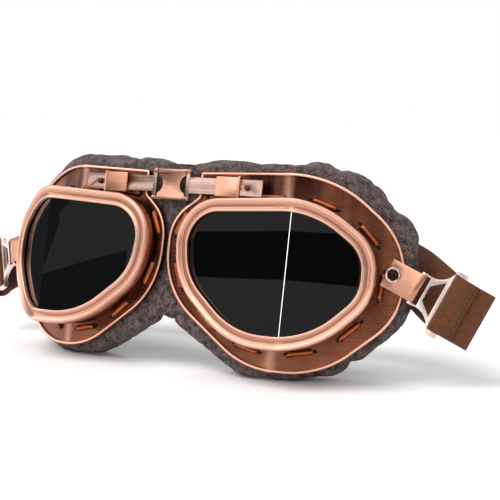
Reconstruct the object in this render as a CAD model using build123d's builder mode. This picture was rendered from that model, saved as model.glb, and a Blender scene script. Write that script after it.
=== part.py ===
import os
from math import cos, radians, sin, tan

from build123d import *

# Aviator goggles, in millimetres. X runs from the wearer's nose to the right eyepiece
# as seen from the front, Y runs back towards the face and Z is up. The right half is
# drawn upright, with its lens crease on Z 0, then leaned back on its pads and mirrored.

# Stance
lean_angle = 11.3
flat_depth = 0.5
centre_shift = -31.78

# Lens opening, seen along the direction in which the frame is drawn
opening_nose_gap = 14.2826
front_sweep = 3.6
side_sweep = 33.6
opening_width = 77.3
opening_height = 51.5
opening_x_shares = (0.118, 0.384, 0.384, 0.140, -0.279, -0.594, -0.638)
opening_z_shares = (0.491, 0.206, -0.128, -0.515, -0.515, -0.107, 0.435)
opening_round_shares = (0.70, 0.28, 0.32, 0.66, 0.70, 0.47, 0.27)

# Flange, seen from the front
flange_temple_margin = 9.2168
flange_nose_depth = 6.5
flange_front_sweep = 6.75
flange_side_sweep = 22.0
flange_bend_inset = 9.6
flange_gauge = 0.8
flange_x_shares = (0.132, 0.703, 1.0, 1.0, 0.718, 0.410, 0.009, 0.009, 0.132)
flange_z_shares = (0.476, 0.508, 0.208, -0.164, -0.492, -0.492, -0.142, 0.231, 0.349)
flange_round_shares = (0.012, 0.53, 0.39, 0.35, 0.44, 0.46, 0.41, 0.23, 0.012)
bead_width = 1.7
bead_proud = 0.9

# Frame wall and lens seat, as growth of the opening and as depth behind the lens face
wall_outside = 5.0
wall_gauge = 0.8
seat_inside = 0.8
ledge_gauge = 0.7
fit_gap = 0.05

# Lens ring
lip_width = 1.4
lip_proud = 0.9
channel_proud = 0.2
ridge_inside = 3.1
ridge_outside = 5.9
ridge_proud = 1.6
ring_skirt = 2.2

# Lenses and their seal
lens_depth = 1.0
lens_gauge = 2.0
lens_tuck = 2.0
seal_gauge = 1.2
seal_inside = 1.2

# Air louvres
louvre_count = 11
louvre_length = 11.0
louvre_radius = 1.25
louvre_bore = 0.75
louvre_offset = 7.1
louvre_phase_share = 0.035

# Leather pad, outlined where it is widest
pad_overhang = 3.1
pad_height_margin = 7.0
pad_outline_depth = 20.0
pad_x_shares = (-0.05, 0.70, 1.0, 1.0, 0.712, 0.375, -0.05)
pad_z_shares = (0.505, 0.515, 0.205, -0.175, -0.485, -0.485, -0.205)
pad_foot_share = -0.485
pad_round_shares = (0.01, 0.44, 0.34, 0.32, 0.38, 0.32, 0.01)
pad_thickness = 18.5
pad_front_bend = 90.0
pad_rear_bend = 260.0
pad_line_points = 20
pad_front_round = 3.0
pad_rear_round = 7.0
pad_inner_round = 2.5
pad_nose_gap = 3.0
pad_nose_relief = 15.5
eye_nose_x = 16.5
eye_temple_inset = 11.5
eye_height_margin = 0.5
eye_round = 24.0
soft_gap = 0.35

# Leather over the nose, between the pads
gusset_thickness = 5.0
gusset_foot_share = -0.25
gusset_head_share = 0.5

# Nose clip and bridge bars
bridge_clearance = 3.0135
bridge_drop = 8.3
bridge_depth = 5.6
hinge_x = 8.65
bar_height = 7.0
bar_gauge = 1.0
bar_end_x = 46.0
head_height = 10.0
head_width = 1.8
head_gauge = 1.3
pin_radius = 0.6
pin_length = 1.5
pin_clearance = 0.06
knuckle_radius = 1.35
knuckle_height = 1.4
knuckle_gap = 0.3
clip_gauge = 0.9
clip_cut_radius = 4.2
clip_edge_gap = 0.6
curl_radius = 0.75

# Guide sleeve and stop rivet
sleeve_start_x = 23.5
sleeve_length = 12.0
sleeve_gauge = 0.8
sleeve_slot_gap = 0.06
sleeve_lip_length = 1.0
sleeve_lip_proud = 0.4
sleeve_foot_inset = 1.0
sleeve_foot_height = 5.4
sleeve_foot_raise = 1.1
rivet_radius = 0.7
rivet_head_radius = 1.25
rivet_head_height = 0.9
rivet_travel = 2.0

# Strap lug and eyelet, laid out on the side flange
eyelet_inset = 4.6
eyelet_z = 3.7
lug_droop = 23.5
eyelet_bore = 2.4
eyelet_wall = 0.35
eyelet_lip = 0.5
eyelet_lip_height = 0.5
eyelet_clearance = 0.06
lug_gauge = 0.7
lug_back = 2.8
lug_half_width = 6.2
lug_lift = 1.4
loop_centre = 10.9
loop_radius = 1.15
loop_ramp = 4.0

# Buckle
buckle_gauge = 2.0
buckle_bar_radius = 1.05
buckle_bar_half = 7.2
buckle_waist_half = 6.6
buckle_neck = 14.2
buckle_cross = 20.6
buckle_slot = 22.3
buckle_far_bar = 24.2
buckle_length = 27.4
buckle_half_width = 14.6
window_near_half = 3.4
window_far_half = 7.8
window_near = 15.4

# Elastic strap
strap_width = 25.0
strap_gauge = 1.5
strap_gap = 0.3
strap_seam = 33.0
strap_turn = 40.8
strap_turn_radius = 3.0
strap_rear_start = 34.0
strap_rear_depth = 64.0
strap_rear_height = 6.0
strap_behind_inset = 9.6
strap_behind_depth = 57.0
strap_behind_z = 6.0
strap_sections = 8

fillet_fit_share = 0.98
overrun = 12.0
far = 130.0


# Heights that follow the height of the lens opening: the bars clear the ring and hang
# below the flange's top
bridge_z = opening_z_shares[0] * opening_height + ridge_outside + bridge_clearance
flange_height = 2 * (bridge_z + bridge_drop)
pad_height = flange_height + pad_height_margin
eye_height = opening_height + eye_height_margin

# Places along X that follow the width of the lens opening
crease_x = opening_nose_gap - opening_x_shares[-1] * opening_width
flange_reach = crease_x + opening_x_shares[1] * opening_width + flange_temple_margin
flange_bend_x = crease_x - flange_bend_inset
pad_reach = flange_reach + pad_overhang
eye_temple_x = flange_reach - eye_temple_inset
eyelet_x = flange_reach - eyelet_inset
strap_behind_x = pad_reach - strap_behind_inset


# Directions worked out from the sweeps
draw_turn = (side_sweep - front_sweep) / 2
bend_half = (side_sweep + front_sweep) / 2
draw_back = Vector(-sin(radians(draw_turn)), cos(radians(draw_turn)), 0)
draw_across = Vector(cos(radians(draw_turn)), sin(radians(draw_turn)), 0)
crease = Vector(crease_x, 0, 0)
draw_plane = Plane(origin=crease, x_dir=draw_across, z_dir=draw_back * -1)
mitre_plane = Plane(origin=crease, x_dir=(0, 0, 1), z_dir=draw_across)
stand_back = Vector(0, cos(radians(lean_angle)), sin(radians(lean_angle)))
stand_front_plane = Plane(origin=(0, pad_outline_depth, 0), x_dir=(1, 0, 0), z_dir=stand_back * -1)
foot = pad_foot_share * pad_height + flat_depth
floor_plane = Plane(origin=stand_front_plane.from_local_coords((0, foot, 0)),
                    x_dir=(1, 0, 0), z_dir=stand_front_plane.y_dir)
stand_height = pad_outline_depth * sin(radians(lean_angle)) - foot
stand = Location((0, centre_shift, stand_height), (-lean_angle, 0, 0))
seal_back = lens_depth + lens_gauge + seal_gauge
ledge_back = seal_back + ledge_gauge


def flange_face_y(x):
    # depth of the flange's front face under a point of the front view
    near = min(x, flange_bend_x)
    past = max(x - flange_bend_x, 0)
    slope = tan(radians(flange_front_sweep)) * near + tan(radians(flange_side_sweep)) * past
    return flange_nose_depth + slope


def lens_line(depth):
    # the bent lens face in plan, moved back square to both panes
    corner = crease + draw_back * (depth / cos(radians(bend_half)))
    nose = Vector(cos(radians(front_sweep)), -sin(radians(front_sweep)), 0)
    temple = Vector(cos(radians(side_sweep)), sin(radians(side_sweep)), 0)
    return [corner - nose * far, corner, corner + temple * far]


def flange_line(depth):
    # the bent flange in plan, moved straight back
    ends = (-far, flange_bend_x, far)
    return [Vector(x, flange_face_y(x) + depth, 0) for x in ends]


def bent_slab(near, back):
    # everything between two bent lines in plan
    with BuildPart() as slab:
        with BuildSketch(Plane.XY):
            with BuildLine():
                Polyline(*near, *reversed(back), close=True)
            make_face()
        extrude(amount=far, both=True)
    return slab.part


def fitted_radii(corners, radii):
    # fillets as asked for, or smaller where two of them would not fit on the edge between them
    edges = [corners[(i + 1) % len(corners)] - corner for i, corner in enumerate(corners)]
    runs = []
    for i, radius in enumerate(radii):
        corner_angle = 180 - edges[i - 1].get_angle(edges[i])
        runs.append(radius / tan(radians(corner_angle / 2)))
    fits = []
    for i, edge in enumerate(edges):
        needed = runs[i] + runs[(i + 1) % len(runs)]
        fits.append(min(1, fillet_fit_share * edge.length / needed))
    return [radius * min(fits[i - 1], fits[i]) for i, radius in enumerate(radii)]


def rounded_outline(width, height, x_shares, z_shares, round_shares):
    # an outline of straight stretches and large arcs, from shares of its width and height
    corners = [Vector(x * width, z * height) for x, z in zip(x_shares, z_shares)]
    radii = fitted_radii(corners, [share * height for share in round_shares])
    return FilletPolyline(*corners, radius=radii, close=True)


def opening_face(grow):
    # the lens opening seen along the draw direction, grown all round
    with BuildSketch(draw_plane) as face:
        with BuildLine():
            rounded_outline(opening_width, opening_height,
                            opening_x_shares, opening_z_shares, opening_round_shares)
        make_face()
        if grow:
            offset(amount=grow, kind=Kind.ARC)
    return face.sketch


def flange_face(grow):
    # the flange seen from the front, grown all round
    with BuildSketch(Plane.XZ) as face:
        with BuildLine():
            rounded_outline(flange_reach, flange_height,
                            flange_x_shares, flange_z_shares, flange_round_shares)
        make_face()
        if grow:
            offset(amount=grow, kind=Kind.ARC)
    return face.sketch


def opening_ring(inside, outside, near, back):
    # a ring that follows the opening, between two bent faces
    with BuildPart() as ring:
        add(bent_slab(near, back))
        extrude(opening_face(outside), amount=far, both=True, mode=Mode.INTERSECT)
        extrude(opening_face(inside), amount=far, both=True, mode=Mode.SUBTRACT)
    return ring.part


def louvre_planes():
    # places for the louvres along the foot of the wall, lying on the flange
    path = opening_face(louvre_offset).wires()[0]
    front_slope, side_slope = flange_front_sweep, flange_side_sweep
    places = []
    for number in range(louvre_count):
        share = (louvre_phase_share + number / louvre_count) % 1
        spot = path.position_at(share)
        ahead = path.position_at((share + 0.01) % 1)
        on_flange = drop_to_flange(spot)
        direction = drop_to_flange(ahead) - on_flange
        sweep = front_slope if on_flange.X < flange_bend_x else side_slope
        outward = Vector(sin(radians(sweep)), -cos(radians(sweep)), 0)
        places.append(Plane(origin=on_flange, x_dir=direction, z_dir=outward))
    return places


def drop_to_flange(spot):
    # carry a point along the draw direction until it meets the flange's front face
    for sweep, low, high in ((flange_front_sweep, -far, flange_bend_x),
                             (flange_side_sweep, flange_bend_x, far)):
        outward = Vector(sin(radians(sweep)), -cos(radians(sweep)), 0)
        bend = Vector(flange_bend_x, flange_face_y(flange_bend_x), 0)
        run = (bend - spot).dot(outward) / draw_back.dot(outward)
        landed = spot + draw_back * run
        if low <= landed.X <= high:
            break
    return landed


def make_louvre(place):
    # a half round tunnel with open ends, pressed out of the flange
    with BuildPart() as tunnel:
        with BuildSketch(Plane(origin=place.origin, x_dir=place.y_dir, z_dir=place.x_dir)) as arch:
            Circle(louvre_radius)
            Circle(louvre_bore, mode=Mode.SUBTRACT)
        extrude(amount=louvre_length / 2, both=True)
        split(bisect_by=place.offset(-flange_gauge / 2), keep=Keep.TOP)
    return tunnel.part


def make_wall(inside):
    # the standing wall between the lens ring and the flange
    with BuildPart() as wall:
        add(opening_ring(inside, wall_outside, lens_line(ring_skirt), lens_line(far / 2)))
        add(bent_slab(flange_line(-far), flange_line(flange_gauge)), mode=Mode.INTERSECT)
    return wall.part


def make_frame():
    with BuildPart() as plate:
        add(bent_slab(flange_line(0), flange_line(flange_gauge)))
        extrude(flange_face(0), amount=far, both=True, mode=Mode.INTERSECT)
    with BuildPart() as bead:
        add(bent_slab(flange_line(-bead_proud), flange_line(flange_gauge)))
        extrude(flange_face(0), amount=far, both=True, mode=Mode.INTERSECT)
        extrude(flange_face(-bead_width), amount=far, both=True, mode=Mode.SUBTRACT)
    wall_inside = wall_outside - wall_gauge
    with BuildPart() as frame:
        add(plate.part)
        add(bead.part)
        extrude(opening_face(wall_inside), amount=far, both=True, mode=Mode.SUBTRACT)
        with BuildSketch(lug_plane):
            Circle(barrel_radius + fit_gap)
        extrude(amount=overrun / 2, both=True, mode=Mode.SUBTRACT)
        add(make_wall(wall_inside))
        add(opening_ring(seat_inside, wall_outside, lens_line(seal_back), lens_line(ledge_back)))
        for place in louvre_planes():
            add(make_louvre(place))
        with BuildSketch(lug_plane):
            Circle(barrel_radius + eyelet_lip + fit_gap)
        extrude(amount=lug_lift, mode=Mode.SUBTRACT)
    return frame.part


def make_lens_ring():
    with BuildPart() as ridge:
        add(opening_ring(ridge_inside, ridge_outside, lens_line(-ridge_proud), lens_line(ring_skirt)))
    with BuildPart() as ring:
        add(ridge.part)
        add(opening_ring(0, ridge_outside, lens_line(-channel_proud), lens_line(lens_depth - fit_gap)))
        add(opening_ring(0, lip_width, lens_line(-lip_proud), lens_line(0)))
    return ring.part


def make_lens(side):
    with BuildPart() as lens:
        add(bent_slab(lens_line(lens_depth), lens_line(lens_depth + lens_gauge)))
        extrude(opening_face(lens_tuck), amount=far, both=True, mode=Mode.INTERSECT)
        split(bisect_by=mitre_plane, keep=side)
    return lens.part


def make_lens_seal():
    collar_inside = lens_tuck + fit_gap
    collar_outside = ridge_inside - fit_gap
    base_outside = wall_outside - wall_gauge - fit_gap
    lens_back = lens_line(lens_depth + lens_gauge)
    with BuildPart() as seal:
        add(opening_ring(collar_inside, collar_outside, lens_line(lens_depth), lens_line(seal_back)))
        add(opening_ring(seal_inside, base_outside, lens_back, lens_line(seal_back)))
    return seal.part


def pad_line(depth, bend):
    # one smooth line in plan that follows the flange at a depth behind its face
    ends = (-overrun, flange_bend_x, flange_reach + overrun)
    corners = [Vector(x, flange_face_y(x) + depth, 0) for x in ends]
    rounded = FilletPolyline(*corners, radius=bend, mode=Mode.PRIVATE)
    return Spline(*[rounded.position_at(step / pad_line_points) for step in range(pad_line_points + 1)])


def nose_side_plane(shift):
    # the slanted face that lets a folded pad clear its neighbour
    start = Vector(pad_nose_gap + shift, flange_face_y(0) + flange_gauge + soft_gap, 0)
    slant = radians(pad_nose_relief)
    return Plane(origin=start, x_dir=(0, 0, 1), z_dir=(cos(slant), -sin(slant), 0))


def pad_outline_face():
    # the outline of the pad where it is widest
    with BuildSketch(stand_front_plane) as face:
        with BuildLine():
            rounded_outline(pad_reach, pad_height, pad_x_shares, pad_z_shares, pad_round_shares)
        make_face()
    return face.sketch


def eye_hole():
    # the opening that the eye looks through
    with BuildSketch(stand_front_plane) as face:
        with Locations(((eye_nose_x + eye_temple_x) / 2, 0)):
            RectangleRounded(eye_temple_x - eye_nose_x, eye_height, eye_round)
    return face.sketch


def broad_faces(cushion):
    # the two widest faces of the cushion, the one towards the flange first
    return cushion.faces().sort_by(SortBy.AREA)[-2:].sort_by(Axis.Y)


def make_pad():
    with BuildPart() as pad:
        with BuildSketch(Plane.XY.offset(-far)):
            with BuildLine():
                front = pad_line(flange_gauge + soft_gap, pad_front_bend)
                rear = pad_line(pad_thickness, pad_rear_bend)
                Line(front @ 1, rear @ 1)
                Line(rear @ 0, front @ 0)
            make_face()
        extrude(amount=2 * far)
        extrude(pad_outline_face(), amount=far, both=True, mode=Mode.INTERSECT)
        split(bisect_by=nose_side_plane(0), keep=Keep.TOP)
        fillet(broad_faces(pad)[-1].edges(), pad_rear_round)
        fillet(broad_faces(pad)[0].edges(), pad_front_round)
        extrude(eye_hole(), amount=far, both=True, mode=Mode.SUBTRACT)
        fillet(broad_faces(pad)[-1].inner_wires()[0].edges(), pad_inner_round)
        with BuildSketch(lug_plane.offset(-flange_gauge - eyelet_lip_height - soft_gap)):
            Circle(barrel_radius + eyelet_lip + soft_gap)
        extrude(amount=overrun, mode=Mode.SUBTRACT)
        split(bisect_by=floor_plane, keep=Keep.TOP)
    return pad.part


def make_nose_gusset():
    near = flange_face_y(0) + flange_gauge + soft_gap
    side = nose_side_plane(-soft_gap)
    with BuildPart() as gusset:
        with BuildSketch(Plane.XZ.offset(-near)):
            with BuildLine():
                head = pad_height * gusset_head_share
                arch = pad_height * gusset_foot_share
                Polyline((0, arch), (0, head), (overrun, head), (overrun, arch - overrun / 2), close=True)
            make_face()
        extrude(amount=-gusset_thickness)
        split(bisect_by=side, keep=Keep.BOTTOM)
    return gusset.part


def make_clip():
    top = bridge_z + head_height / 2 + knuckle_gap
    low = bridge_z - head_height / 2 - knuckle_gap
    plate_half = hinge_x - head_width / 2 - clip_edge_gap
    with BuildPart() as clip:
        with BuildSketch(Plane.XZ.offset(-bridge_depth - clip_gauge / 2)):
            with Locations((0, bridge_z)):
                Rectangle(2 * plate_half, top - low)
            with Locations((-hinge_x, bridge_z), (hinge_x, bridge_z)):
                Circle(clip_cut_radius, mode=Mode.SUBTRACT)
        extrude(amount=clip_gauge)
        for base, grow in ((top, knuckle_height), (low, -knuckle_height)):
            with BuildSketch(Plane.XY.offset(base)):
                with Locations((0, bridge_depth)):
                    SlotOverall(2 * (hinge_x + knuckle_radius), 2 * knuckle_radius)
                with Locations((0, bridge_depth)):
                    Rectangle(2 * plate_half, 2 * knuckle_radius, mode=Mode.SUBTRACT)
                    Rectangle(2 * plate_half + fit_gap, 2 * curl_radius)
                with Locations((-hinge_x, bridge_depth), (hinge_x, bridge_depth)):
                    Circle(pin_radius + pin_clearance, mode=Mode.SUBTRACT)
            extrude(amount=grow)
    return clip.part


def make_bridge_bar():
    with BuildPart() as bar:
        with BuildSketch(Plane.XZ.offset(-bridge_depth)):
            with Locations(((hinge_x + bar_end_x) / 2, bridge_z)):
                Rectangle(bar_end_x - hinge_x, bar_height)
        extrude(amount=bar_gauge / 2, both=True)
        with BuildSketch(Plane.XZ.offset(-bridge_depth)):
            with Locations((hinge_x, bridge_z)):
                Rectangle(head_width, head_height)
        extrude(amount=head_gauge / 2, both=True)
        with Locations((hinge_x, bridge_depth, bridge_z)):
            Cylinder(pin_radius, head_height + 2 * pin_length)
        with BuildSketch(Plane.XZ.offset(-bridge_depth)):
            with Locations((rivet_x, bridge_z)):
                Circle(rivet_radius + fit_gap)
        extrude(amount=bar_gauge, both=True, mode=Mode.SUBTRACT)
    return bar.part


def make_stop_rivet():
    face = bridge_depth - bar_gauge / 2
    with BuildPart() as rivet:
        with BuildSketch(Plane.XZ.offset(-face)):
            with Locations((rivet_x, bridge_z)):
                Circle(rivet_head_radius)
        extrude(amount=rivet_head_height)
        fillet(rivet.edges().group_by(Axis.Y)[0], rivet_head_height / 2)
        with BuildSketch(Plane.XZ.offset(-face)):
            with Locations((rivet_x, bridge_z)):
                Circle(rivet_radius)
        extrude(amount=-bar_gauge)
        with BuildSketch(Plane.XZ.offset(-face - bar_gauge)):
            with Locations((rivet_x, bridge_z)):
                Circle(rivet_head_radius)
        extrude(amount=-rivet_head_height / 2)
    return rivet.part


def make_sleeve():
    half = bar_height / 2 + sleeve_slot_gap + sleeve_gauge
    deep = bar_gauge / 2 + sleeve_slot_gap + sleeve_gauge
    middle = sleeve_start_x + sleeve_length / 2
    lip_middle = sleeve_start_x + sleeve_length - sleeve_lip_length / 2
    foot_z = bridge_z + sleeve_foot_raise
    with BuildPart() as sleeve:
        with Locations((middle, bridge_depth, bridge_z)):
            Box(sleeve_length, 2 * deep, 2 * half)
        with Locations((lip_middle, bridge_depth, bridge_z)):
            Box(sleeve_lip_length, 2 * (deep + sleeve_lip_proud), 2 * (half + sleeve_lip_proud))
        fillet(sleeve.edges().filter_by(Axis.X), sleeve_lip_proud)
        with BuildSketch(Plane.XY.offset(foot_z)):
            with BuildLine():
                start = sleeve_start_x + sleeve_foot_inset
                stop = sleeve_start_x + sleeve_length - sleeve_foot_inset
                Polyline((start, bridge_depth), (stop, bridge_depth),
                         (stop, flange_face_y(stop)), (start, flange_face_y(start)), close=True)
            make_face()
        extrude(amount=sleeve_foot_height / 2, both=True)
        with Locations((middle, bridge_depth, bridge_z)):
            Box(2 * sleeve_length, bar_gauge + 2 * sleeve_slot_gap,
                bar_height + 2 * sleeve_slot_gap, mode=Mode.SUBTRACT)
    return sleeve.part


rivet_x = sleeve_start_x + sleeve_length + rivet_travel + rivet_head_radius
side_out = Vector(sin(radians(flange_side_sweep)), -cos(radians(flange_side_sweep)), 0)
side_along = Vector(cos(radians(flange_side_sweep)), sin(radians(flange_side_sweep)), 0)
droop = radians(lug_droop)
strap_out = side_along * cos(droop) - Vector(0, 0, sin(droop))
eyelet_spot = Vector(eyelet_x, flange_face_y(eyelet_x), eyelet_z)
lug_plane = Plane(origin=eyelet_spot, x_dir=strap_out, z_dir=side_out)
strap_side_plane = Plane(origin=eyelet_spot, x_dir=strap_out, z_dir=lug_plane.y_dir * -1)
barrel_radius = eyelet_bore + eyelet_wall
loop_height = lug_lift + lug_gauge + loop_radius
leaf_top = lug_lift + 2 * lug_gauge


def make_eyelet():
    lip = barrel_radius + eyelet_lip
    with BuildPart() as eyelet:
        with BuildSketch(lug_plane.offset(-flange_gauge - eyelet_lip_height)):
            Circle(lip)
        extrude(amount=eyelet_lip_height)
        with BuildSketch(lug_plane.offset(-flange_gauge)):
            Circle(barrel_radius)
        extrude(amount=flange_gauge + leaf_top + eyelet_clearance)
        with BuildSketch(lug_plane):
            Circle(lip)
        extrude(amount=lug_lift - eyelet_clearance)
        with BuildSketch(lug_plane.offset(leaf_top + eyelet_clearance)):
            Circle(lip)
        extrude(amount=eyelet_lip_height)
        top = eyelet.faces().sort_by(Axis(eyelet_spot, side_out))[-1]
        fillet(top.edges(), eyelet_lip_height / 2)
        with BuildSketch(lug_plane):
            Circle(eyelet_bore)
        extrude(amount=overrun, both=True, mode=Mode.SUBTRACT)
    return eyelet.part


def make_lug():
    outer = loop_radius + lug_gauge
    flat = loop_centre - loop_radius
    inner_top = loop_height + loop_radius
    leaf_joint = lug_lift + lug_gauge
    with BuildPart() as lug:
        with BuildSketch(strap_side_plane):
            with BuildLine():
                Polyline((loop_centre, lug_lift), (-lug_back, lug_lift), (-lug_back, leaf_top),
                         (loop_ramp, leaf_top), (flat, loop_height + outer),
                         (loop_centre, loop_height + outer))
                ThreePointArc((loop_centre, loop_height + outer), (loop_centre + outer, loop_height),
                              (loop_centre, lug_lift))
            make_face()
            with BuildLine():
                Polyline((loop_centre, leaf_joint), (loop_ramp + lug_gauge, leaf_joint),
                         (flat, inner_top), (loop_centre, inner_top))
                ThreePointArc((loop_centre, inner_top), (loop_centre + loop_radius, loop_height),
                              (loop_centre, leaf_joint))
            make_face(mode=Mode.SUBTRACT)
        extrude(amount=lug_half_width, both=True)
        with BuildSketch(lug_plane):
            Circle(barrel_radius + eyelet_clearance)
        extrude(amount=overrun, both=True, mode=Mode.SUBTRACT)
    return lug.part


def make_buckle():
    with BuildPart() as buckle:
        with BuildSketch(lug_plane.offset(loop_height)):
            with BuildLine():
                near = loop_centre
                Polyline((near, -buckle_bar_half), (near, buckle_bar_half),
                         (buckle_neck - buckle_gauge, buckle_bar_half))
                ThreePointArc((buckle_neck - buckle_gauge, buckle_bar_half),
                              ((buckle_neck + buckle_cross) / 2, buckle_waist_half + buckle_gauge / 2),
                              (buckle_slot, buckle_half_width))
                Polyline((buckle_slot, buckle_half_width), (buckle_length, buckle_half_width),
                         (buckle_length, -buckle_half_width), (buckle_slot, -buckle_half_width))
                ThreePointArc((buckle_slot, -buckle_half_width),
                              ((buckle_neck + buckle_cross) / 2, -buckle_waist_half - buckle_gauge / 2),
                              (buckle_neck - buckle_gauge, -buckle_bar_half))
                Line((buckle_neck - buckle_gauge, -buckle_bar_half), (near, -buckle_bar_half))
            make_face()
            with BuildLine():
                Polyline((window_near, window_near_half), (buckle_cross, window_far_half),
                         (buckle_cross, -window_far_half), (window_near, -window_near_half), close=True)
            make_face(mode=Mode.SUBTRACT)
            slot_middle = (buckle_slot + buckle_far_bar) / 2
            with Locations((slot_middle, 0)):
                Rectangle(buckle_far_bar - buckle_slot, strap_width + 2 * strap_gap, mode=Mode.SUBTRACT)
            gap_half = lug_half_width + soft_gap / 2
            with Locations((near + (buckle_neck - near) / 2, 0)):
                Rectangle(buckle_neck - near, 2 * gap_half, mode=Mode.SUBTRACT)
        extrude(amount=buckle_gauge / 2, both=True)
        with BuildSketch(Plane(origin=lug_plane.from_local_coords((loop_centre, 0, loop_height)),
                               x_dir=strap_out, z_dir=lug_plane.y_dir)):
            Circle(buckle_bar_radius)
        extrude(amount=buckle_bar_half, both=True)
    return buckle.part


strap_half_gauge = strap_gauge / 2
strap_over = loop_height + buckle_gauge / 2 + strap_gap + strap_half_gauge
strap_under = loop_height - buckle_gauge / 2 - strap_gap - strap_half_gauge
strap_behind = strap_under - 2 * strap_turn_radius


def make_strap_end():
    # webbing sewn round the buckle's far bar, run outwards and folded back
    top, low = strap_over + strap_half_gauge, strap_under - strap_half_gauge
    main_top = strap_under + strap_half_gauge
    inner = buckle_far_bar - strap_gap
    past = buckle_length + strap_gauge
    slope_end = past + strap_turn_radius
    fold = strap_turn - strap_gauge
    tight = strap_gauge / 5
    small, wide = strap_turn_radius - strap_gauge, strap_turn_radius
    outline = [(strap_rear_start, strap_behind - strap_half_gauge, tight),
               (strap_turn, strap_behind - strap_half_gauge, wide),
               (strap_turn, main_top, wide),
               (strap_seam, main_top, tight), (strap_seam, main_top + strap_gauge, tight),
               (slope_end, main_top + strap_gauge, strap_gauge), (past, top, strap_gauge),
               (inner - strap_gauge, top, strap_gauge), (inner - strap_gauge, low, strap_gauge),
               (fold, low, small), (fold, strap_behind + strap_half_gauge, small),
               (strap_rear_start, strap_behind + strap_half_gauge, tight)]
    with BuildPart() as webbing:
        with BuildSketch(strap_side_plane):
            with BuildLine():
                FilletPolyline(*[spot[:2] for spot in outline], radius=[spot[2] for spot in outline],
                               close=True)
            make_face()
            with BuildLine():
                Polyline((inner, main_top), (inner, top - strap_gauge), (past - tight, top - strap_gauge),
                         (slope_end - strap_gauge, main_top), close=True)
            make_face(mode=Mode.SUBTRACT)
        extrude(amount=strap_width / 2, both=True)
    return webbing.part


def make_strap_half():
    # webbing from the sewn end round to the centre plane behind the pads
    start = strap_side_plane.from_local_coords((strap_rear_start - strap_gap, strap_behind, 0))
    behind = Vector(strap_behind_x, strap_behind_depth, strap_behind_z)
    centre = Vector(0, strap_rear_depth, strap_rear_height)
    run = Spline(start, behind, centre, tangents=(strap_out * -1, (-1, 0, 0)))
    with BuildPart() as half:
        for step in range(strap_sections + 1):
            share = step / strap_sections
            upright = lug_plane.y_dir * (1 - share) + Vector(0, 0, share)
            ahead = run.tangent_at(share)
            across = (upright - ahead * upright.dot(ahead)).normalized()
            with BuildSketch(Plane(origin=run.position_at(share), x_dir=across, z_dir=ahead)):
                Rectangle(strap_width, strap_gauge)
        loft()
    return half.part


def keep_piece(label, solid):
    # lean the upright piece back on its pads and write it
    piece = stand * solid
    piece.label = label
    export_step(piece, "parts/" + label + ".step")


def keep_pair(label, solid):
    # the right piece and its mirror image
    keep_piece("right_" + label, solid)
    keep_piece("left_" + label, mirror(solid, about=Plane.YZ))


os.makedirs("parts", exist_ok=True)
keep_pair("frame", make_frame())
keep_pair("lens_ring", make_lens_ring())
keep_pair("front_lens", make_lens(Keep.BOTTOM))
keep_pair("side_lens", make_lens(Keep.TOP))
keep_pair("lens_seal", make_lens_seal())
keep_pair("pad", make_pad())
keep_pair("nose_gusset", make_nose_gusset())
keep_piece("nose_clip", make_clip())
keep_pair("bridge_bar", make_bridge_bar())
keep_pair("stop_rivet", make_stop_rivet())
keep_pair("guide_sleeve", make_sleeve())
keep_pair("eyelet", make_eyelet())
keep_pair("strap_lug", make_lug())
keep_pair("buckle", make_buckle())
keep_pair("strap_end", make_strap_end())
strap_half = make_strap_half()
with BuildPart() as strap_band:
    add(strap_half)
    add(mirror(strap_half, about=Plane.YZ))
keep_piece("strap_band", strap_band.part)
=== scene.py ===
from bisect import bisect_left, bisect_right
from contextlib import contextmanager
from itertools import accumulate
from math import acos, cos, hypot, inf, pi, radians, sin, tan

import bmesh
import bpy
from mathutils import Matrix, Vector, noise


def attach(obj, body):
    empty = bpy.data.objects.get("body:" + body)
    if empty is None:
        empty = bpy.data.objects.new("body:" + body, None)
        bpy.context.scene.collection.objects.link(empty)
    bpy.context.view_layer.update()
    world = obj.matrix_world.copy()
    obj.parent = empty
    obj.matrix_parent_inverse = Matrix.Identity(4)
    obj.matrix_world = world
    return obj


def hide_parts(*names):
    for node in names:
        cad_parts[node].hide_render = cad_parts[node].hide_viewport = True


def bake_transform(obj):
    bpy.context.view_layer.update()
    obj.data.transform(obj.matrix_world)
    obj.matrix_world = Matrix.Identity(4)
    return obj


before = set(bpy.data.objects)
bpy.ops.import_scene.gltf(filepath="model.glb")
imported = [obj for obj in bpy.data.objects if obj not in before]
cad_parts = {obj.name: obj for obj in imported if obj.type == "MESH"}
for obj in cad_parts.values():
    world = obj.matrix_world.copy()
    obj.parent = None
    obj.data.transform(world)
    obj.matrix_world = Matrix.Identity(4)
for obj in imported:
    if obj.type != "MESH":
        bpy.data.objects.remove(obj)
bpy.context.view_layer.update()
mm = 0.001
sides = {"right": 1, "left": -1}

# the right-hand half is drawn upright in millimetres, lens crease at height 0, then leaned back on its pad
stance = {"lean": radians(11.3), "shift": -31.78, "padDepth": 20.0, "foot": -44.12}
stance["height"] = stance["padDepth"] * sin(stance["lean"]) - stance["foot"]


def stand(x, y, z):
    # from the drawing to the leaned goggles in metres
    lean = stance["lean"]
    back = y * cos(lean) + z * sin(lean) + stance["shift"]
    up = -y * sin(lean) + z * cos(lean) + stance["height"]
    return Vector((x, back, up)) * mm


def unstand(spot):
    # the other way round
    lean = stance["lean"]
    x, y, z = spot.x / mm, spot.y / mm - stance["shift"], spot.z / mm - stance["height"]
    return Vector((x, y * cos(lean) - z * sin(lean), y * sin(lean) + z * cos(lean)))


def mirrored(spot, side):
    return Vector((spot.x * sides[side], spot.y, spot.z))


def placed(spot, side):
    return mirrored(stand(*spot), side)


def placedTurn(direction, side):
    return mirrored(stand(*direction) - stand(0, 0, 0), side).normalized()


def drawn(spot, side):
    return unstand(mirrored(spot, side))


# materials, with sizes in metres and noise in turns per metre

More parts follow.
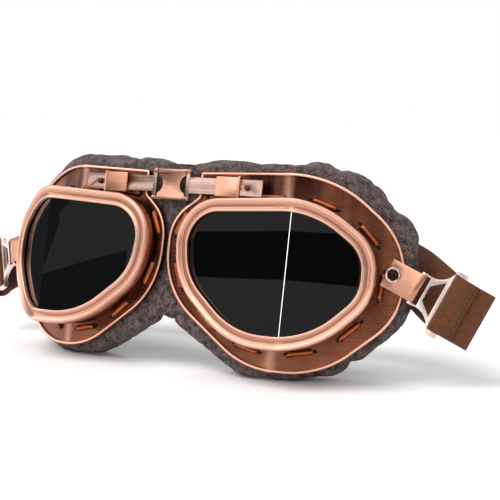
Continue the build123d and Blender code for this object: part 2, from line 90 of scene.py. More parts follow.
def rgba(colour):
    # a grey may be given as one number
    return (*colour, 1) if isinstance(colour, tuple) else (colour, colour, colour, 1)


def shaderInput(material, label):
    return material.node_tree.nodes["Principled BSDF"].inputs[label]


def newMaterial(name, base, rough, metallic=0.0, **more):
    material = bpy.data.materials.new(name)
    material.use_nodes = True
    values = {"Base_Color": rgba(base), "Roughness": rough, "Metallic": metallic, **more}
    for label, value in values.items():
        shaderInput(material, label.replace("_", " ")).default_value = value
    return material


def feed(material, label, source):
    material.node_tree.links.new(source, shaderInput(material, label))


def addNode(tree, kind, values=None, **settings):
    node = tree.nodes.new(kind)
    for name, value in settings.items():
        setattr(node, name, value)
    for name, value in (values or {}).items():
        node.inputs[name].default_value = value
    return node


def scaledCoords(tree, scale=(1, 1, 1), output="Object"):
    coords = addNode(tree, "ShaderNodeTexCoord")
    mapping = addNode(tree, "ShaderNodeMapping", {"Scale": scale})
    tree.links.new(coords.outputs[output], mapping.inputs["Vector"])
    return mapping.outputs["Vector"]


def noiseField(tree, vector, scale, detail=4.0, rough=0.55):
    field = addNode(tree, "ShaderNodeTexNoise", {"Scale": scale, "Detail": detail, "Roughness": rough})
    tree.links.new(vector, field.inputs["Vector"])
    return field.outputs["Fac"]


def ramp(tree, source, stops):
    node = addNode(tree, "ShaderNodeValToRGB")
    elements = node.color_ramp.elements
    for spare in range(len(stops) - 2):
        elements.new(0.5)
    for element, (place, colour) in zip(elements, stops):
        element.position = place
        element.color = rgba(colour)
    tree.links.new(source, node.inputs["Fac"])
    return node.outputs["Color"]


def bump(material, source, strength, distance, after=None):
    tree = material.node_tree
    node = addNode(tree, "ShaderNodeBump", {"Strength": strength, "Distance": distance})
    tree.links.new(source, node.inputs["Height"])
    if after:
        tree.links.new(after, node.inputs["Normal"])
    feed(material, "Normal", node.outputs["Normal"])
    return node.outputs["Normal"]


def maths(tree, operation, first, second=None, third=None):
    node = addNode(tree, "ShaderNodeMath", operation=operation)
    for socket, value in zip(node.inputs, (first, second, third)):
        if isinstance(value, (int, float)):
            socket.default_value = value
        elif value is not None:
            tree.links.new(value, socket)
    return node.outputs[0]


def mixColours(tree, share, first, second, mode="MIX"):
    node = addNode(tree, "ShaderNodeMix", data_type="RGBA", blend_type=mode)
    if isinstance(share, (int, float)):
        node.inputs[0].default_value = share
    else:
        tree.links.new(share, node.inputs[0])
    for socket, colour in ((node.inputs[6], first), (node.inputs[7], second)):
        if isinstance(colour, tuple):
            socket.default_value = rgba(colour)
        else:
            tree.links.new(colour, socket)
    return node.outputs[2]


plating = {"streakScale": (24, 24, 2200), "cloudScale": 55.0, "streakShade": 0.28, "smootherShare": 0.85,
           "rougherShare": 1.2, "streakBump": 0.12, "streakDepth": 0.00004}


def brushedMetal(name, light, dark, rough, grain=1.0):
    # brushed plating: fine streaks in a clouded tone
    material = newMaterial(name, light, rough, metallic=1.0)
    tree = material.node_tree
    streaks = noiseField(tree, scaledCoords(tree, plating["streakScale"]), 1.0, 3.0, 0.6)
    cloud = noiseField(tree, scaledCoords(tree), plating["cloudScale"], 5.0, 0.6)
    toned = ramp(tree, cloud, [(0.32, dark), (0.68, light)])
    lined = ramp(tree, streaks, [(0.35, 1 - plating["streakShade"] * grain), (0.70, 1.0)])
    feed(material, "Base Color", mixColours(tree, 1.0, toned, lined, "MULTIPLY"))
    feed(material, "Roughness", ramp(tree, streaks, [(0.3, rough * plating["smootherShare"]),
                                                     (0.75, rough * plating["rougherShare"])]))
    bump(material, streaks, plating["streakBump"] * grain, plating["streakDepth"])
    return material


def colourSoFar(material):
    return shaderInput(material, "Base Color").links[0].from_socket


# heights between which painted shade darkens the flange, and how far from its bend the painted highlight
# reaches
paintedFlangeLight = {"shadeFrom": 0.035, "shadeTo": 0.085, "bandScale": (120, 10, 6), "dark": (0.040, 0.011, 0.008),
          "bendHighlight": (0.60, 0.32, 0.22), "highlightShare": 0.5, "highlightReach": 0.0035}


def paintedLightPlate(name, light, dark, rough, bendX):
    # the flange: painted shade darkens it towards the top and in upright bands, and a painted highlight
    # brightens it along its bend
    material = brushedMetal(name, light, dark, rough)
    tree = material.node_tree
    parts = addNode(tree, "ShaderNodeSeparateXYZ")
    tree.links.new(scaledCoords(tree), parts.inputs["Vector"])
    shadeBands = noiseField(tree, scaledCoords(tree, paintedFlangeLight["bandScale"]), 1.0, 3.0, 0.5)
    rise = {"From Min": paintedFlangeLight["shadeFrom"], "From Max": paintedFlangeLight["shadeTo"]}
    height = addNode(tree, "ShaderNodeMapRange", rise)
    tree.links.new(parts.outputs["Z"], height.inputs["Value"])
    # painted shade: the tone darkens towards the top, in upright bands
    shade = maths(tree, "MULTIPLY", height.outputs[0], ramp(tree, shadeBands, [(0.36, 1.0), (0.62, 0.2)]))
    shadedTone = mixColours(tree, shade, colourSoFar(material), paintedFlangeLight["dark"])
    # painted highlight: a lighter tone along the bend
    aside = maths(tree, "SUBTRACT", maths(tree, "ABSOLUTE", parts.outputs["X"]), bendX * mm)
    fade = {"From Max": paintedFlangeLight["highlightReach"], "To Min": paintedFlangeLight["highlightShare"], "To Max": 0.0}
    bendHighlight = addNode(tree, "ShaderNodeMapRange", fade, interpolation_type="SMOOTHSTEP")
    tree.links.new(maths(tree, "ABSOLUTE", aside), bendHighlight.inputs["Value"])
    feed(material, "Base Color", mixColours(tree, bendHighlight.outputs[0], shadedTone, paintedFlangeLight["bendHighlight"]))
    return material


def ringMaterial(polished, shadedTone, rough):
    # satin copper with painted shade: browner where the mesh's painted-shade attribute is high
    material = brushedMetal("ringCopper", polished, polished, rough, grain=0.12)
    tree = material.node_tree
    paintedShade = addNode(tree, "ShaderNodeAttribute", attribute_name="paintedShade")
    feed(material, "Base Color", mixColours(tree, paintedShade.outputs["Fac"], colourSoFar(material), shadedTone))
    return material


hide = {"toneScale": 60.0, "wrinkleScale": 380.0, "wrinkleDepth": 0.0022, "warpScale": 420.0, "warp": 0.0016,
        "pebbleScale": 900.0, "pebbleDepth": 0.0003}


def leatherMaterial(name, light, dark, rough):
    # creased hide: pebbled grain and wrinkles, with painted shade darkening the valleys and creases, so the
    # crests stay paler
    material = newMaterial(name, light, rough, Specular_IOR_Level=0.35)
    tree = material.node_tree
    vector = scaledCoords(tree)
    tone = ramp(tree, noiseField(tree, vector, hide["toneScale"], 6.0, 0.62), [(0.32, dark), (0.70, light)])
    wrinkles = noiseField(tree, vector, hide["wrinkleScale"], 8.0, 0.72)
    field = addNode(tree, "ShaderNodeTexNoise", {"Scale": hide["warpScale"], "Detail": 3.0})
    tree.links.new(vector, field.inputs["Vector"])
    warped = addNode(tree, "ShaderNodeVectorMath", operation="MULTIPLY_ADD")
    warped.inputs[1].default_value = (hide["warp"],) * 3
    tree.links.new(field.outputs["Color"], warped.inputs[0])
    tree.links.new(vector, warped.inputs[2])
    pebbles = addNode(tree, "ShaderNodeTexVoronoi", {"Scale": hide["pebbleScale"]},
                      feature="DISTANCE_TO_EDGE")
    tree.links.new(warped.outputs[0], pebbles.inputs["Vector"])
    # painted shade: dark in the grain's valleys and in the wrinkles' creases
    grain = ramp(tree, pebbles.outputs["Distance"], [(0.0, 0.25), (0.12, 0.9), (0.4, 1.0)])
    creaseShade = ramp(tree, wrinkles, [(0.40, 0.12), (0.50, 0.6), (0.64, 1.0)])
    valleyShade = mixColours(tree, 1.0, grain, creaseShade, "MULTIPLY")
    feed(material, "Base Color", mixColours(tree, 1.0, tone, valleyShade, "MULTIPLY"))
    wrinkled = bump(material, wrinkles, 1.0, hide["wrinkleDepth"])
    bump(material, grain, 0.5, hide["pebbleDepth"], after=wrinkled)
    return material


# the picks across are closer than the ribs by a share, and deepen the ribs by another
weave = {"pitch": 0.0009, "pickShare": 0.7, "crossShare": 0.7, "depth": 0.0002, "fuzzScale": 700.0,
         "fadedShare": 1.5}


def webbingMaterial(name, light, dark):
    # woven elastic, on the piece's own UV in metres, with painted shade where the weave is low
    material = newMaterial(name, light, 0.9, Sheen_Weight=0.1, Specular_IOR_Level=0.2)
    tree = material.node_tree
    parts = addNode(tree, "ShaderNodeSeparateXYZ")
    tree.links.new(scaledCoords(tree, output="UV"), parts.inputs["Vector"])
    ribs, picks = (maths(tree, "SINE", maths(tree, "MULTIPLY", parts.outputs[axis], 2 * pi / pitch))
                   for axis, pitch in (("X", weave["pitch"]), ("Y", weave["pitch"] * weave["pickShare"])))
    crossed = maths(tree, "MULTIPLY", maths(tree, "MULTIPLY", ribs, picks), weave["crossShare"])
    highest = 1 + weave["crossShare"]
    height = addNode(tree, "ShaderNodeMapRange", {"From Min": -highest, "From Max": highest})
    tree.links.new(maths(tree, "ADD", ribs, crossed), height.inputs["Value"])
    # painted shade: the colour darkens where the weave's height is low
    colour = ramp(tree, height.outputs[0], [(0.2, dark), (0.8, light)])
    fuzz = noiseField(tree, scaledCoords(tree), weave["fuzzScale"], 5.0, 0.7)
    faded = tuple(min(1, tone * weave["fadedShare"]) for tone in light)
    worn = ramp(tree, fuzz, [(0.4, 0.0), (0.75, 0.45)])
    feed(material, "Base Color", mixColours(tree, worn, colour, faded))
    bump(material, height.outputs[0], 0.6, weave["depth"])
    return material


def lensMaterial():
    # dark tinted glass with a faint, uneven coating
    material = newMaterial("darkLens", 0.0008, 0.02, Specular_IOR_Level=0.46)
    tree = material.node_tree
    smear = noiseField(tree, scaledCoords(tree), 40.0, 3.0)
    feed(material, "Roughness", ramp(tree, smear, [(0.3, 0.008), (0.8, 0.02)]))
    return material


def rubberMaterial():
    # dusty black rubber
    material = newMaterial("sealRubber", 0.02, 0.7)
    tree = material.node_tree
    dust = noiseField(tree, scaledCoords(tree), 500.0, 4.0)
    feed(material, "Base Color", ramp(tree, dust, [(0.3, 0.012), (0.8, (0.035, 0.033, 0.03))]))
    bump(material, dust, 0.3, 0.0001)
    return material


finishes = {
    # the flange gets painted shade towards its top and a painted highlight along its bend
    "flange": paintedLightPlate("flangeCopper", (0.285, 0.102, 0.056), (0.170, 0.056, 0.029), 0.30, 54.0),
    # the ring's second colour is its painted shade, darker in the channel and on the back
    "ring": ringMaterial((0.91, 0.51, 0.39), (0.44, 0.190, 0.115), 0.32),
    "louvre": brushedMetal("louvreCopper", (0.50, 0.135, 0.050), (0.34, 0.085, 0.030), 0.34, grain=0.4),
    "bar": brushedMetal("barSteel", (0.60, 0.41, 0.34), (0.42, 0.27, 0.215), 0.28),
    "sleeve": brushedMetal("sleeveCopper", (0.84, 0.43, 0.30), (0.62, 0.29, 0.19), 0.24, grain=0.4),
    "rivet": brushedMetal("rivetCopper", (0.20, 0.065, 0.040), (0.11, 0.035, 0.022), 0.25, grain=0.2),
    "clip": brushedMetal("clipCopper", (0.70, 0.37, 0.27), (0.46, 0.22, 0.15), 0.25, grain=0.4),
    "lug": brushedMetal("lugCopper", (0.62, 0.32, 0.22), (0.46, 0.22, 0.145), 0.28, grain=0.3),
    "buckle": brushedMetal("buckleCopper", (0.93, 0.80, 0.74), (0.84, 0.66, 0.59), 0.32, grain=0.2),
    "eyelet": brushedMetal("eyeletCopper", (0.95, 0.72, 0.60), (0.85, 0.58, 0.46), 0.18, grain=0.1),
    "rightCrease": newMaterial("lensCrease", 0.95, 0.12, metallic=1.0),
    # a near-black copy of the crease, painted shade for the left lens
    "leftCrease": newMaterial("shadedCrease", 0.004, 0.6, Specular_IOR_Level=0.05),
    # near-black painted shade for the louvres' mouths
    "mouthShade": newMaterial("louvreMouthShade", (0.006, 0.003, 0.002), 0.9),
    "lens": lensMaterial(),
    "seal": rubberMaterial(),
    "leather": leatherMaterial("padLeather", (0.360, 0.250, 0.235), (0.190, 0.128, 0.118), 0.55),
    "webbing": webbingMaterial("strapWebbing", (0.158, 0.060, 0.028), (0.062, 0.020, 0.009)),
    "thread": newMaterial("strapThread", (0.035, 0.013, 0.006), 0.8),
}
print("materials made")


# shared mesh work, in metres

weldGap = 1e-7
cadWeldGap = 2e-6


def linked(name, data):
    made = bpy.data.objects.new(name, data)
    bpy.context.scene.collection.objects.link(made)
    return made


def newPiece(name, mesh, material):
    mesh.materials.clear()
    mesh.materials.append(material)
    return linked(name, mesh)


@contextmanager
def meshWork(mesh):
    work = bmesh.new()
    work.from_mesh(mesh)
    yield work
    work.to_mesh(mesh)
    work.free()


def outwards(mesh, gap=weldGap):
    with meshWork(mesh) as work:
        bmesh.ops.remove_doubles(work, verts=work.verts, dist=gap)
        bmesh.ops.recalc_face_normals(work, faces=work.faces)
    return mesh


def meshFromGrid(name, rings, closed=True):
    # quads between equal rings of points, with a cap at each end of a run that isn't closed
    across = len(rings[0])
    points = [spot for ring in rings for spot in ring]
    faces = []
    for i in range(len(rings) if closed else len(rings) - 1):
        following = (i + 1) % len(rings)
        for j in range(across):
            k = (j + 1) % across
            faces.append((i * across + j, following * across + j, following * across + k, i * across + k))
    if not closed:
        faces.append(tuple(range(across)))
        faces.append(tuple((len(rings) - 1) * across + j for j in reversed(range(across))))
    mesh = bpy.data.meshes.new(name)
    mesh.from_pydata(points, [], faces)
    return outwards(mesh)


def settle(piece):
    # turn a piece's modifiers into its mesh
    graph = bpy.context.evaluated_depsgraph_get()
    mesh = bpy.data.meshes.new_from_object(piece.evaluated_get(graph))
    piece.modifiers.clear()
    piece.data = mesh
    return piece


def evenCopy(name, node, voxel):
    # the CAD solid's shape in even faces, for leather
    mesh = outwards(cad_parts[node].data.copy(), cadWeldGap)
    piece = newPiece(name, mesh, finishes["leather"])
    remesh = piece.modifiers.new("even", "REMESH")
    remesh.mode = "VOXEL"
    remesh.voxel_size = voxel * mm
    settle(piece)
    piece.data.update()
    return piece


def smooth(piece, angle=34):
    piece.data.shade_smooth()
    piece.data.set_sharp_from_angle(angle=radians(angle))
    return piece


# faces flatter than the first angle are joined, edges sharper than the second are eased
easing = {"flat": radians(0.6), "sharp": radians(32)}


def roundedCopy(node, suffix, material, width, body, segments=2):
    # the CAD piece with its edges eased, so that they catch the light
    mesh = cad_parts[node].data.copy()
    with meshWork(mesh) as work:
        bmesh.ops.remove_doubles(work, verts=work.verts, dist=cadWeldGap)
        bmesh.ops.dissolve_limit(work, verts=work.verts, edges=work.edges, angle_limit=easing["flat"])
    piece = newPiece(node + suffix, mesh, material)
    if width:
        mesh.shade_smooth()
        bevel = piece.modifiers.new("ease", "BEVEL")
        bevel.width = width * mm
        bevel.segments = segments
        bevel.limit_method = "ANGLE"
        bevel.angle_limit = easing["sharp"]
        bevel.harden_normals = True
        settle(piece)
    else:
        smooth(piece)
    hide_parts(node)
    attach(piece, body)
    return piece


# lens opening, seen along the direction in which the frame is drawn
opening = {"crease": 63.6, "draw": radians(15), "bend": radians(18.6), "width": 77.3, "height": 51.5,
           "xShares": (0.118, 0.384, 0.384, 0.140, -0.279, -0.594, -0.638),
           "zShares": (0.491, 0.206, -0.128, -0.515, -0.515, -0.107, 0.435),
           "roundShares": (0.70, 0.28, 0.32, 0.66, 0.70, 0.47, 0.27), "steps": 320}


def arcRun(start, stop, centre, radius):
    # its length, and a function that gives the spot and the normal at a distance along it
    first, last = start - centre, stop - centre
    way = 1 if first.x * last.y > first.y * last.x else -1

    def at(place):
        swing = place / radius * way
        normal = Vector((first.x * cos(swing) - first.y * sin(swing),
                         first.x * sin(swing) + first.y * cos(swing))) / radius
        return centre + normal * radius, normal

    return first.angle(last) * radius, at


def lineRun(start, stop):
    along = (stop - start).normalized()

    def at(place):
        return start + along * place, Vector((-along.y, along.x))

    return (stop - start).length, at


def alongRuns(runs, place):
    for length, at in runs:
        if place <= length:
            break
        place -= length
    return at(place)


def filletedOutline(shape, corners):
    # evenly spaced points and outward normals round a closed outline of straights and arcs
    arcs = []
    for i, (corner, share) in enumerate(zip(corners, shape["roundShares"])):
        radius = share * shape["height"]
        before = (corners[i - 1] - corner).normalized()
        after = (corners[(i + 1) % len(corners)] - corner).normalized()
        half = acos(before.dot(after)) / 2
        reach = radius / tan(half)
        centre = corner + (before + after).normalized() * (radius / sin(half))
        arcs.append((corner + before * reach, corner + after * reach, centre, radius))
    runs = []
    for arc, following in zip(arcs, arcs[1:] + arcs[:1]):
        runs += [arcRun(*arc), lineRun(arc[1], following[0])]
    total = sum(length for length, at in runs)
    spots = [alongRuns(runs, total * step / shape["steps"]) for step in range(shape["steps"])]
    middle = sum((spot for spot, normal in spots), Vector((0, 0))) / len(spots)
    return [(spot, normal if normal.dot(spot - middle) > 0 else -normal) for spot, normal in spots]


def outlineOf(shape):
    corners = [Vector((x * shape["width"], z * shape["height"]))
               for x, z in zip(shape["xShares"], shape["zShares"])]
    return filletedOutline(shape, corners)


def onLensFace(spot, depth, rounding=0.0):
    # a point of the draw view carried to the bent lens face, at a depth behind it
    turn, bend = opening["draw"], opening["bend"]
    back = (hypot(spot.x, rounding) - rounding) * tan(bend) + depth / cos(bend)
    return Vector((opening["crease"] + spot.x * cos(turn) - back * sin(turn),
                   spot.x * sin(turn) + back * cos(turn), spot.y))


# growth from the opening, depth behind the lens face, and how much painted shade browns the copper there
ringShape = {"crease": 2.4, "setBack": 0.24, "profile": (
    (0.0, 0.9, 0.3), (0.0, -0.4, 0.1), (0.1, -0.75, 0.0), (0.35, -0.97, 0.0), (0.75, -0.98, 0.0),
    (1.05, -0.75, 0.15), (1.35, -0.45, 0.6), (1.8, -0.27, 0.85), (2.5, -0.25, 0.85), (3.1, -0.42, 0.75),
    (3.6, -0.76, 0.6), (4.1, -1.2, 0.25), (4.5, -1.5, 0.0), (4.9, -1.6, 0.0), (5.3, -1.38, 0.2),
    (5.62, -0.9, 0.6), (5.83, -0.25, 0.75), (5.92, 0.6, 0.8), (5.9, 2.15, 0.9), (5.05, 2.2, 0.9),
    (3.15, 2.2, 0.9), (3.12, 0.95, 0.9))}


def makeLensRing(side):
    rows = []
    for spot, normal in outlineOf(opening):
        row = [onLensFace(spot + normal * grow, depth + ringShape["setBack"], ringShape["crease"])
               for grow, depth, paintedShade in ringShape["profile"]]
        rows.append([placed(point, side) for point in row])
    mesh = meshFromGrid("bezel", rows)
    # painted shade on each point of the ring, from the profile's third column
    attribute = mesh.attributes.new("paintedShade", "FLOAT", "POINT")
    attribute.data.foreach_set("value", [paintedShade for row in rows for grow, depth, paintedShade in ringShape["profile"]])
    piece = newPiece(side + "_bezel", mesh, finishes["ring"])
    smooth(piece, 50)
    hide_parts(side + "_lens_ring")
    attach(piece, side + "_cup")


# flange in plan: its depth on the nose side, and how each half sweeps back
flange = {"nose": 6.5, "frontSweep": radians(6.75), "sideSweep": radians(22), "bendX": 54.0, "gauge": 0.8}


def flangeFace(x):
    near, past = min(x, flange["bendX"]), max(x - flange["bendX"], 0)
    return flange["nose"] + tan(flange["frontSweep"]) * near + tan(flange["sideSweep"]) * past


def outOf(sweep):
    return Vector((sin(sweep), -cos(sweep), 0))


def flangeOut(x):
    return outOf(flange["frontSweep"] if x < flange["bendX"] else flange["sideSweep"])


def dropToFlange(spot):
    # carry a point of the draw view along the draw direction to the flange
    turn = opening["draw"]
    flat = Vector((opening["crease"] + spot.x * cos(turn), spot.x * sin(turn), spot.y))
    backward = Vector((-sin(turn), cos(turn), 0))
    bend = Vector((flange["bendX"], flangeFace(flange["bendX"]), 0))
    for sweep, low, high in ((flange["frontSweep"], -inf, bend.x), (flange["sideSweep"], bend.x, inf)):
        out = outOf(sweep)
        landed = flat + backward * ((bend - flat).dot(out) / backward.dot(out))
        if low <= landed.x <= high:
            break
    return landed


rim = {"width": 102.5, "height": 85.0, "steps": 360,
       "inset": 0.75, "radius": 0.82, "rise": 0.25, "around": 12,
       "xShares": (0.132, 0.703, 1.0, 1.0, 0.718, 0.410, 0.009, 0.009, 0.132),
       "zShares": (0.476, 0.508, 0.208, -0.164, -0.492, -0.492, -0.142, 0.231, 0.349),
       "roundShares": (0.012, 0.53, 0.39, 0.35, 0.44, 0.46, 0.41, 0.23, 0.012)}


def makeRimBead(side):
    radius, rise = rim["radius"], rim["rise"]
    turns = [2 * pi * step / rim["around"] for step in range(rim["around"])]
    rows = []
    for spot, normal in outlineOf(rim):
        edge = spot - normal * rim["inset"]
        foot, out = Vector((edge.x, flangeFace(edge.x), edge.y)), flangeOut(edge.x)
        aside = Vector((normal.x * cos(flange["sideSweep"]), normal.x * sin(flange["frontSweep"]), normal.y))
        rows.append([placed(foot + aside * radius * cos(turn) + out * (rise + radius * sin(turn)), side)
                     for turn in turns])
    bead = smooth(newPiece(side + "_rim_bead", meshFromGrid("bead", rows), finishes["ring"]), 60)
    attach(bead, side + "_cup")


# a strip between two heights; its section is across and behind, in halves of its width
creaseStrip = {"low": -27.5, "high": 26.5, "half": 0.17, "depth": 1.0,
               "section": ((-1, 0.3), (-0.7, -0.2), (0.7, -0.2), (1, 0.3))}


def makeLensCrease(side):
    # the polished joint between the two panes; on the left it is a near-black copy, painted shade
    turn, half = opening["draw"], creaseStrip["half"]
    across, behind = Vector((cos(turn), sin(turn), 0)), Vector((-sin(turn), cos(turn), 0))
    rows = []
    for z in (creaseStrip["low"], creaseStrip["high"]):
        middle = onLensFace(Vector((0, z)), creaseStrip["depth"])
        rows.append([placed(middle + across * (a * half) + behind * (b * half), side)
                     for a, b in creaseStrip["section"]])
    mesh = meshFromGrid("crease", rows, closed=False)
    crease = newPiece(side + "_lens_crease", mesh, finishes[side + "Crease"])
    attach(crease, side + "_cup")


# tubes with rounded ends, for the louvres and the stitches
tubeShape = {"rings": 15, "around": 14, "tipShare": 0.02}


def tubeTree():
    # one tube on each point, along the point's ahead direction
    tree = bpy.data.node_groups.new("tubesOnPoints", "GeometryNodeTree")
    made = {}
    for label, kind in (("Geometry", "Geometry"), ("Tube Length", "Float"), ("Tube Radius", "Float"),
                        ("End Sharpness", "Float"), ("Finish", "Material")):
        made[label] = tree.interface.new_socket(label, in_out="INPUT", socket_type="NodeSocket" + kind)
    tree.interface.new_socket("Geometry", in_out="OUTPUT", socket_type="NodeSocketGeometry")
    source, sink = tree.nodes.new("NodeGroupInput"), tree.nodes.new("NodeGroupOutput")
    link = tree.links.new

    line = addNode(tree, "GeometryNodeCurvePrimitiveLine")
    for end, share in (("Start", -0.5), ("End", 0.5)):
        spot = addNode(tree, "ShaderNodeCombineXYZ")
        link(maths(tree, "MULTIPLY", source.outputs["Tube Length"], share), spot.inputs["X"])
        link(spot.outputs[0], line.inputs[end])
    rings = addNode(tree, "GeometryNodeResampleCurve", {"Count": tubeShape["rings"]})
    link(line.outputs[0], rings.inputs["Curve"])
    along = addNode(tree, "GeometryNodeSplineParameter").outputs["Factor"]
    fromMiddle = maths(tree, "ABSOLUTE", maths(tree, "MULTIPLY_ADD", along, 2.0, -1.0))
    swelling = maths(tree, "SUBTRACT", 1.0, maths(tree, "POWER", fromMiddle, source.outputs["End Sharpness"]))
    rounded = maths(tree, "SQRT", maths(tree, "MAXIMUM", swelling, 0.0))
    girth = maths(tree, "ADD", rounded, tubeShape["tipShare"])
    circle = addNode(tree, "GeometryNodeCurvePrimitiveCircle", {"Resolution": tubeShape["around"]})
    link(source.outputs["Tube Radius"], circle.inputs["Radius"])
    tube = addNode(tree, "GeometryNodeCurveToMesh", {"Fill Caps": True})
    link(rings.outputs[0], tube.inputs["Curve"])
    link(circle.outputs[0], tube.inputs["Profile Curve"])
    link(girth, tube.inputs["Scale"])
    shaded = addNode(tree, "GeometryNodeSetShadeSmooth")
    link(tube.outputs[0], shaded.inputs["Geometry"])

    turn = addNode(tree, "FunctionNodeAxesToRotation", primary_axis="X", secondary_axis="Z")
    for label, socket in (("ahead", turn.inputs[0]), ("outward", turn.inputs[1])):
        named = addNode(tree, "GeometryNodeInputNamedAttribute", {"Name": label}, data_type="FLOAT_VECTOR")
        link(named.outputs["Attribute"], socket)
    laid = addNode(tree, "GeometryNodeInstanceOnPoints")
    link(source.outputs["Geometry"], laid.inputs["Points"])
    link(shaded.outputs[0], laid.inputs["Instance"])
    link(turn.outputs[0], laid.inputs["Rotation"])
    real = addNode(tree, "GeometryNodeRealizeInstances")
    link(laid.outputs[0], real.inputs[0])
    finish = addNode(tree, "GeometryNodeSetMaterial")
    link(real.outputs[0], finish.inputs["Geometry"])
    link(source.outputs["Finish"], finish.inputs["Material"])
    link(finish.outputs[0], sink.inputs[0])
    return tree, {label: socket.identifier for label, socket in made.items()}


tubesOnPoints, tubeSockets = tubeTree()


def layTubes(name, places, length, radius, sharpness, finish, body):
    # places are (spot, ahead, outward) in metres
    mesh = bpy.data.meshes.new(name)
    mesh.from_pydata([place[0] for place in places], [], [])
    for label, index in (("ahead", 1), ("outward", 2)):
        attribute = mesh.attributes.new(label, "FLOAT_VECTOR", "POINT")
        attribute.data.foreach_set("vector", [value for place in places for value in place[index]])
    piece = linked(name, mesh)
    modifier = piece.modifiers.new("tubes", "NODES")
    modifier.node_group = tubesOnPoints
    modifier[tubeSockets["Tube Length"]] = length * mm
    modifier[tubeSockets["Tube Radius"]] = radius * mm
    modifier[tubeSockets["End Sharpness"]] = sharpness
    modifier[tubeSockets["Finish"]] = finish
    settle(piece)
    outwards(piece.data)
    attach(piece, body)
    return piece


# pressed strips round the foot of the wall, each with a dark mouth past both ends: near-black tubes of
# painted shade
louvres = {"count": 11, "offset": 7.1, "phaseShare": 0.035, "aheadSteps": 3,
           "length": 11.2, "radius": 1.22, "rise": 0.45, "sharpness": 10.0,
           "mouthLength": 1.7, "mouthRadius": 0.72, "mouthRise": -0.1, "mouthSharpness": 3.0,
           "mouthGap": 0.75}


def louvrePlaces(side, rise, shift=0.0):
    grown = [spot + normal * louvres["offset"] for spot, normal in outlineOf(opening)]
    runs = list(accumulate((b - a).length for a, b in zip(grown, grown[1:] + grown[:1])))
    places = []
    for number in range(louvres["count"]):
        goal = runs[-1] * ((1 - louvres["phaseShare"] - number / louvres["count"]) % 1)
        index = bisect_left(runs, goal)
        here = dropToFlange(grown[index])
        ahead = (dropToFlange(grown[(index + louvres["aheadSteps"]) % len(grown)]) - here).normalized()
        out = flangeOut(here.x)
        spot = here + out * rise + ahead * shift
        places.append((placed(spot, side), placedTurn(ahead, side), placedTurn(out, side)))
    return places


def makeLouvres(side):
    body = side + "_cup"
    layTubes(side + "_louvres", louvrePlaces(side, louvres["rise"]), louvres["length"], louvres["radius"],
             louvres["sharpness"], finishes["louvre"], body)
    reach = louvres["length"] / 2 + louvres["mouthGap"]
    mouths = [place for end in (-reach, reach) for place in louvrePlaces(side, louvres["mouthRise"], end)]
    layTubes(side + "_louvre_mouths", mouths, louvres["mouthLength"], louvres["mouthRadius"],
             louvres["mouthSharpness"], finishes["mouthShade"], body)


for side in sides:
    cup, bar = side + "_cup", side + "_bar"
    roundedCopy(side + "_frame", "_shell", finishes["flange"], 0.28, cup, 3)
    makeLensRing(side)
    makeRimBead(side)
    makeLensCrease(side)
    makeLouvres(side)
    for pane in ("_front_lens", "_side_lens"):
        roundedCopy(side + pane, "_glass", finishes["lens"], 0.0, cup)
    roundedCopy(side + "_bridge_bar", "_plate", finishes["bar"], 0.16, bar)
    roundedCopy(side + "_stop_rivet", "_head", finishes["rivet"], 0.0, bar)
    roundedCopy(side + "_guide_sleeve", "_tube", finishes["sleeve"], 0.15, cup)
    roundedCopy(side + "_eyelet", "_ring", finishes["eyelet"], 0.12, cup)
    roundedCopy(side + "_strap_lug", "_fold", finishes["lug"], 0.12, side + "_lug")
    roundedCopy(side + "_buckle", "_casting", finishes["buckle"], 0.45, side + "_buckle", 3)
    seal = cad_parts[side + "_lens_seal"]
    seal.data.materials.clear()
    seal.data.materials.append(finishes["seal"])
roundedCopy("nose_clip", "_plate", finishes["clip"], 0.14, "nose_clip")
print("metal and glass made")


# leather

folds = {"sharpness": 2.6, "driftShares": (1, 1.7, 0.6), "stretch": 1.5,
         "wideDepth": 2.2, "wideSize": 26.0, "wideLevel": 0.62,
         "tightDepth": 0.6, "tightSize": 8.0, "tightLevel": 0.6, "tightSeed": 7.3}


def fieldAt(spot, size, seed):
    # a sharp-valleyed noise: 0 on a crease, near 1 between creases
    place = spot / size + Vector([seed * share for share in folds["driftShares"]])
    return min(1.0, abs(noise.noise(place)) * folds["sharpness"])


def creaseLeather(piece, seed, hold):
    # folds pressed into the leather, shallow where it is held
    mesh = piece.data
    mesh.update()
    moves = []
    for vertex in mesh.vertices:
        spot = unstand(vertex.co)
        stretched = Vector((spot.x, spot.y * folds["stretch"], spot.z))
        wide = fieldAt(stretched, folds["wideSize"], seed) - folds["wideLevel"]
        tight = fieldAt(stretched, folds["tightSize"], seed + folds["tightSeed"]) - folds["tightLevel"]
        push = folds["wideDepth"] * wide + folds["tightDepth"] * tight
        moves.append(vertex.normal * push * hold(spot) * mm)
    for vertex, move in zip(mesh.vertices, moves):
        vertex.co += move


padShape = {"voxel": 2.6, "shrink": 0.9, "pressure": 4.0, "cap": 2.2, "steps": 20, "quality": 5, "levels": 2,
            "flangeGap": 0.15, "seeds": {"right": 3.1, "left": 11.7}, "fill": 0.7}
# how full the folds are: from the least share at a distance from the flange or nose to all of them
padHolds = {"flangeLeast": 0.12, "flangeFrom": 0.5, "flangeOver": 5, "noseLeast": 0.25, "noseFrom": 6,
            "noseOver": 12}


def padBlank():
    piece = evenCopy("padBlank", "right_pad", padShape["voxel"])
    normals = [vertex.normal.copy() for vertex in piece.data.vertices]
    for vertex, normal in zip(piece.data.vertices, normals):
        vertex.co -= normal * padShape["shrink"] * mm
    return piece


